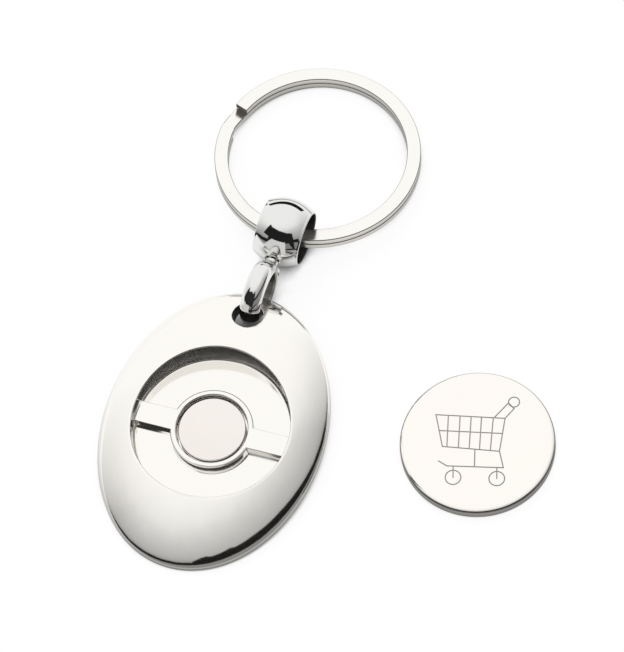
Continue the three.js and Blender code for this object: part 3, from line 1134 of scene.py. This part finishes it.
FOB_CARDS = (
    Bow("wall_card", 12.6 * MM, (0.01, 0.03), (
        (-185, 22, 34), (-144, 26, 37.2), (-110, 28, 39.2), (-75, 29, 40.4), (-44, 30, 41.8), (-16, 31, 42.5),
        (16, 32, 43.6), (50, 33, 45), (79, 34, 46), (108, 34, 49), (150, 34, 52)), bounces=2),
    Bow("wall_light_card", 12.6 * MM, (0.92, 0.90), (
        (-130, 39, 72), (-75, 41, 74), (-16, 43, 76), (50, 45.6, 78), (108, 47.6, 80)), bounces=2),
    Bow("crescent_card", 12.9 * MM, (0.38, 0.38), ((150, 37, 52), (200, 38, 54)), bounces=2),
    Bow("bar_card", 12.5 * MM, (0.03, 0.05), (
        (-170, 4, 17), (-104, 4, 17), (-80, 5, 16), (-58, 7, 14.8), (-20, 7, 13), (19, 7, 14.8),
        (50, 7, 16.6)), bounces=2),
    Bow("rim_card", 12.8 * MM, (0.02, 0.02), ((-75, 30, 44), (-50, 20, 58), (60, 20, 58), (80, 30, 44))),
    Bow("edge_card", 30.0 * MM, (0.01, 0.01), (
        (-17, 5.5, 6.5), (-13, 5.5, 8.8), (-9, 5.5, 9.8), (-7, 5.5, 9), (1, 5.5, 10.2), (5, 5.5, 11.2),
        (8, 5.5, 10.3), (21, 5.5, 11), (40, 5.5, 10.4), (55, 5.5, 8.6), (68, 5.5, 6.5))))
COIN_CARD = Bow("coin_card", 14.2 * MM, (0.01, 0.01), (
    (-78, 2.3, 2.6), (-40, 2.3, 4.4), (0, 2.2, 5), (40, 2.3, 4.6), (70, 2.3, 2.6)))
LINK_CARDS = (
    FlatCard("link_front", -20, 8.0 * MM, (0.02, 0.03), (
        (-6, 9), (0, 10.5), (6, 8.5), (9, 14), (12, 24), (4, 19), (1, 21), (-3, 17), (-9, 24), (-7.5, 14))),
    FlatCard("link_foot", -20, 8.5 * MM, (0.7, 0.7), ((-2.5, 3), (2.5, 3), (3, 9.5), (-3, 9.5))))
BARREL_CARDS = (
    FlatCard("barrel_front", -10, 8.0 * MM, (0.015, 0.015), (
        (-6, 12.2), (0.5, 11.6), (7, 12), (9, 7), (11, 13), (18, 31), (8, 23), (0.5, 21), (-6, 22),
        (-12, 27), (-7, 15))),
    FlatCard("barrel_foot", -10, 8.5 * MM, (0.75, 0.75), ((-3, 7.5), (5, 6), (5.5, 12), (-1, 11.8))),
    FlatCard("barrel_back", 180, 9.5 * MM, (0.01, 0.01), ((-4.5, 9.4), (10, 9.4), (10, 11.9), (-4.5, 11.9))))


def make_card(obj: Object, looked_from: Vector, tones: Pair, across: Vector, reach: float,
              bounces: int) -> None:
    """Makes a sheet a card that only reflections see, and only from one side.

    Args:
        obj: The sheet.
        looked_from: A point on the side from which it is seen.
        tones: Its tones at its left and right.
        across: The direction from left to right.
        reach: Distance from its middle to its left or right.
        bounces: Least number of mirrorings after which it is seen.
    """
    face = obj.data.polygons[0]
    if face.normal.dot(looked_from - face.center) < 0.0:
        obj.data.flip_normals()
    material = bpy.data.materials.new(obj.name)
    wiring = Wiring(material)
    wiring.nodes.clear()
    where = wiring.node("ShaderNodeTexCoord", {}).outputs["Object"]
    middle = across.dot(looked_from)
    tone = wiring.ramp(wiring.along(where, across), (middle - reach, middle + reach), tones)
    dark = wiring.node("ShaderNodeEmission", {"Strength": tone})
    clear = wiring.node("ShaderNodeBsdfTransparent", {})
    behind = wiring.node("ShaderNodeNewGeometry", {}).outputs["Backfacing"]
    mirrorings = wiring.node("ShaderNodeLightPath", {}).outputs["Glossy Depth"]
    early = wiring.math("LESS_THAN", mirrorings, bounces - BOUNCE_MARGIN)
    hidden = wiring.math("MAXIMUM", behind, early)
    both = wiring.blend(hidden, dark.outputs["Emission"], clear.outputs["BSDF"])
    wiring.node("ShaderNodeOutputMaterial", {"Surface": both})
    obj.data.materials.append(material)
    obj.visible_camera = False
    obj.visible_diffuse = False
    obj.visible_shadow = False
    obj.visible_transmission = False


@dataclass
class Studio:
    """The camera, the floor, the tent, the lamp and the cards round the keyring."""

    target: Triple = (-8.0225 * MM, 0.542 * MM, 0.0)
    azimuth: float = math.radians(25.41)
    elevation: float = math.radians(62.61)
    roll: float = math.radians(-9.29)
    distance: float = 683.9 * MM
    lens: float = 259.6
    sensor_width: float = 36.0
    floor_size: float = 6.0
    floor_white: float = 0.8
    floor_glow: float = 1.1
    glow_share: float = 0.8
    mirrored_share: float = 0.9
    floor_fade: Pair = (-5.0 * MM, 30.0 * MM)
    floor_tones: Pair = (1.05, 0.4)
    contact_reach: float = 6.0 * MM
    covered: Pair = (0.25, 0.55)
    covered_mirrored: Pair = (0.18, 0.97)
    fill: float = 0.72
    tent_tilt: float = math.radians(25.0)
    tent_slant: float = 0.05
    tent_tones: tuple[Pair, ...] = (
        (-1.0, 0.24), (-0.03, 0.25), (-0.01, 0.01), (0.14, 0.01), (0.16, 0.33), (0.30, 0.46), (0.40, 0.51),
        (0.50, 0.58), (0.60, 0.70), (0.68, 0.85), (0.77, 0.97), (0.88, 1.02), (1.0, 1.03))
    ragged: float = 0.03
    ragged_scale: float = 9.0
    far_reach: Pair = (0.05, 0.75)
    far_tone: float = 1.03
    lamp_size: float = 0.5
    lamp_power: float = 1.0
    lamp_distance: float = 0.8
    lamp_direction: Triple = (-0.35, 0.55, 0.9)
    card_steps: int = 72
    card_rows: tuple[float, ...] = (0.0, 0.5, 1.0)
    clip_start: float = 10.0 * MM

    def build(self, packed: Packed) -> None:
        """Sets up everything that isn't the keyring.

        Args:
            packed: Places of the pieces, which the cards stand round.
        """
        bpy.context.scene.view_settings.view_transform = "Standard"
        self.camera()
        self.floor()
        self.tent()
        self.lamp()
        for bow in FOB_CARDS:
            self.bow_card(bow, packed.fob().origin)
        self.bow_card(COIN_CARD, packed.coin().origin)
        for card in LINK_CARDS:
            self.flat_card(card, packed.link())
        for card in BARREL_CARDS:
            self.flat_card(card, packed.barrel())

    def towards_camera(self) -> Vector:
        """Gives the level direction from the keyring to the camera."""
        return Vector((math.sin(self.azimuth), -math.cos(self.azimuth), 0.0))

    def bright_side(self) -> Vector:
        """Gives the direction in which the tent is whitest: up, and tilted away from the camera.

        Returns:
            The direction.
        """
        forward = self.towards_camera()
        lean = UP.cross(forward) * self.tent_slant
        return UP * math.cos(self.tent_tilt) - forward * math.sin(self.tent_tilt) - lean

    def camera(self) -> None:
        """Adds the camera at the photograph's view."""
        tilt = Matrix.Rotation(math.pi / 2.0 - self.elevation, 4, "X")
        turn = Matrix.Rotation(self.azimuth, 4, "Z") @ tilt @ Matrix.Rotation(self.roll, 4, "Z")
        away = Matrix.Translation((0.0, 0.0, self.distance))
        data = bpy.data.cameras.new("camera")
        data.lens = self.lens
        data.sensor_width = self.sensor_width
        data.sensor_fit = "HORIZONTAL"
        data.clip_start = self.clip_start
        camera = bpy.data.objects.new("camera", data)
        camera.matrix_world = Matrix.Translation(self.target) @ turn @ away
        bpy.context.scene.collection.objects.link(camera)
        bpy.context.scene.camera = camera

    def floor(self) -> None:
        """Adds the white floor, which is dark where it is covered and greyer in front for reflections."""
        clear_selection()
        bpy.ops.mesh.primitive_plane_add(size=self.floor_size)
        floor = bpy.context.active_object
        floor.name = "floor"
        material = bpy.data.materials.new("floor_white")
        wiring = Wiring(material)
        wiring.nodes.clear()
        open_sky = wiring.node("ShaderNodeAmbientOcclusion", {"Distance": self.contact_reach}).outputs["AO"]
        bare = wiring.ramp(open_sky, self.covered)
        bare_mirrored = wiring.ramp(open_sky, self.covered_mirrored)
        where = wiring.node("ShaderNodeTexCoord", {}).outputs["Object"]
        tone = wiring.ramp(wiring.along(where, self.towards_camera()), self.floor_fade, self.floor_tones)
        diffuse = wiring.node("ShaderNodeBsdfDiffuse", {"Color": (self.floor_white,) * 3 + (1.0,)})
        glow = wiring.node("ShaderNodeEmission", {"Strength": wiring.math("MULTIPLY", bare, self.floor_glow)})
        shown = wiring.math("MULTIPLY", bare_mirrored, tone)
        mirrored = wiring.node("ShaderNodeEmission", {"Strength": shown})
        seen = wiring.node("ShaderNodeLightPath", {})
        plain = wiring.blend(wiring.math("MULTIPLY", seen.outputs["Is Camera Ray"], self.glow_share),
                             diffuse.outputs["BSDF"], glow.outputs["Emission"])
        both = wiring.blend(wiring.math("MULTIPLY", seen.outputs["Is Glossy Ray"], self.mirrored_share),
                            plain, mirrored.outputs["Emission"])
        wiring.node("ShaderNodeOutputMaterial", {"Surface": both})
        floor.data.materials.append(material)

    def tent(self) -> None:
        """Sets a white world; reflections see it fall to grey and a dark edge towards the front."""
        world = bpy.data.worlds.new("white_tent")
        bpy.context.scene.world = world
        wiring = Wiring(world)
        where = wiring.node("ShaderNodeTexCoord", {}).outputs["Generated"]
        noise = wiring.node("ShaderNodeTexNoise", {"Vector": where, "Scale": self.ragged_scale})
        level = wiring.math("ADD", wiring.along(where, self.bright_side()),
                            wiring.ramp(noise.outputs["Fac"], result=(-self.ragged, self.ragged)))
        share = wiring.ramp(level, (-1.0, 1.0))
        ramp = wiring.node("ShaderNodeValToRGB", {"Fac": share})
        first, *inner, last = [((level_at + 1.0) / 2.0, value) for level_at, value in self.tent_tones]
        for element, (position, value) in zip(ramp.color_ramp.elements, (first, last)):
            element.position = position
            element.color = (value, value, value, 1.0)
        for position, value in inner:
            ramp.color_ramp.elements.new(position).color = (value, value, value, 1.0)
        far = wiring.ramp(wiring.along(where, -self.towards_camera()), self.far_reach)
        mirrored = wiring.mixed("FLOAT", far, ramp.outputs["Color"], self.far_tone)
        seen = wiring.node("ShaderNodeLightPath", {})
        plain = wiring.ramp(seen.outputs["Is Camera Ray"], result=(self.fill, 1.0))
        tone = wiring.mixed("FLOAT", seen.outputs["Is Glossy Ray"], plain, mirrored)
        wiring.feed(wiring.nodes["Background"], {"Color": tone})

    def lamp(self) -> None:
        """Adds one soft lamp that gives the floor its shadow."""
        data = bpy.data.lights.new("softbox", "AREA")
        data.shape = "DISK"
        data.size = self.lamp_size
        data.energy = self.lamp_power
        lamp = bpy.data.objects.new("softbox", data)
        lamp.visible_glossy = False
        direction = Vector(self.lamp_direction).normalized()
        turn = direction.to_track_quat("Z", "Y").to_matrix().to_4x4()
        lamp.matrix_world = Matrix.Translation(direction * self.lamp_distance) @ turn
        bpy.context.scene.collection.objects.link(lamp)

    def bow_card(self, bow: Bow, middle: Vector) -> None:
        """Stands a curved card round a piece.

        Args:
            bow: The card's sizes.
            middle: The piece's place.
        """
        start, end = bow.knots[0][0], bow.knots[-1][0]
        profile = [(bow.radius, row * MM) for row in self.card_rows]
        obj = spin(bow.name, profile, Axis.Z, self.card_steps, sweep=math.radians(end - start))
        for vertex in obj.data.vertices:
            turned = start + math.degrees(math.atan2(vertex.co.y, vertex.co.x)) % 360.0
            low, high = bow.edges(turned)
            vertex.co.z = low + (high - low) * vertex.co.z / MM
        forward = self.towards_camera()
        turn = Matrix.Rotation(math.atan2(forward.y, forward.x) + math.radians(start), 4, "Z")
        obj.data.transform(Matrix.Translation(middle) @ turn)
        make_card(obj, middle, bow.tones, UP.cross(forward), bow.radius, bow.bounces)

    def flat_card(self, card: FlatCard, place: Place) -> None:
        """Stands a flat card beside a piece.

        Args:
            card: The card's sizes.
            place: Where the piece lies.
        """
        clear_selection()
        bpy.ops.mesh.primitive_circle_add(vertices=len(card.corners), radius=MM, fill_type="NGON")
        obj = bpy.context.active_object
        obj.name = card.name
        ahead = Matrix.Rotation(math.radians(card.turn), 3, "Z") @ -place.y_axis
        ahead = Vector((ahead.x, ahead.y, 0.0)).normalized()
        right = UP.cross(ahead)
        foot = place.origin + ahead * card.distance
        for vertex, (side, height) in zip(obj.data.vertices, card.corners):
            spot = foot + right * side * MM
            vertex.co = (spot.x, spot.y, height * MM)
        obj.data.update()
        make_card(obj, place.origin, card.tones, right, card.distance, FIRST_BOUNCE)


def main() -> None:
    """Builds the studio and the keyring."""
    logging.basicConfig(level=logging.INFO, format="%(message)s")
    packed = Packed(frame["record"])
    Studio().build(packed)
    ring = SplitRing()
    pieces = ((Fob(), packed.fob()), (Magnet(), packed.fob()), (Link(), packed.link()),
              (Barrel(), packed.barrel()), (ring, packed.ring(ring.wire_middle(), ring.stack)),
              (Coin(), packed.coin()))
    for piece, place in pieces:
        piece.add(place)


if __name__ == "__main__":
    main()
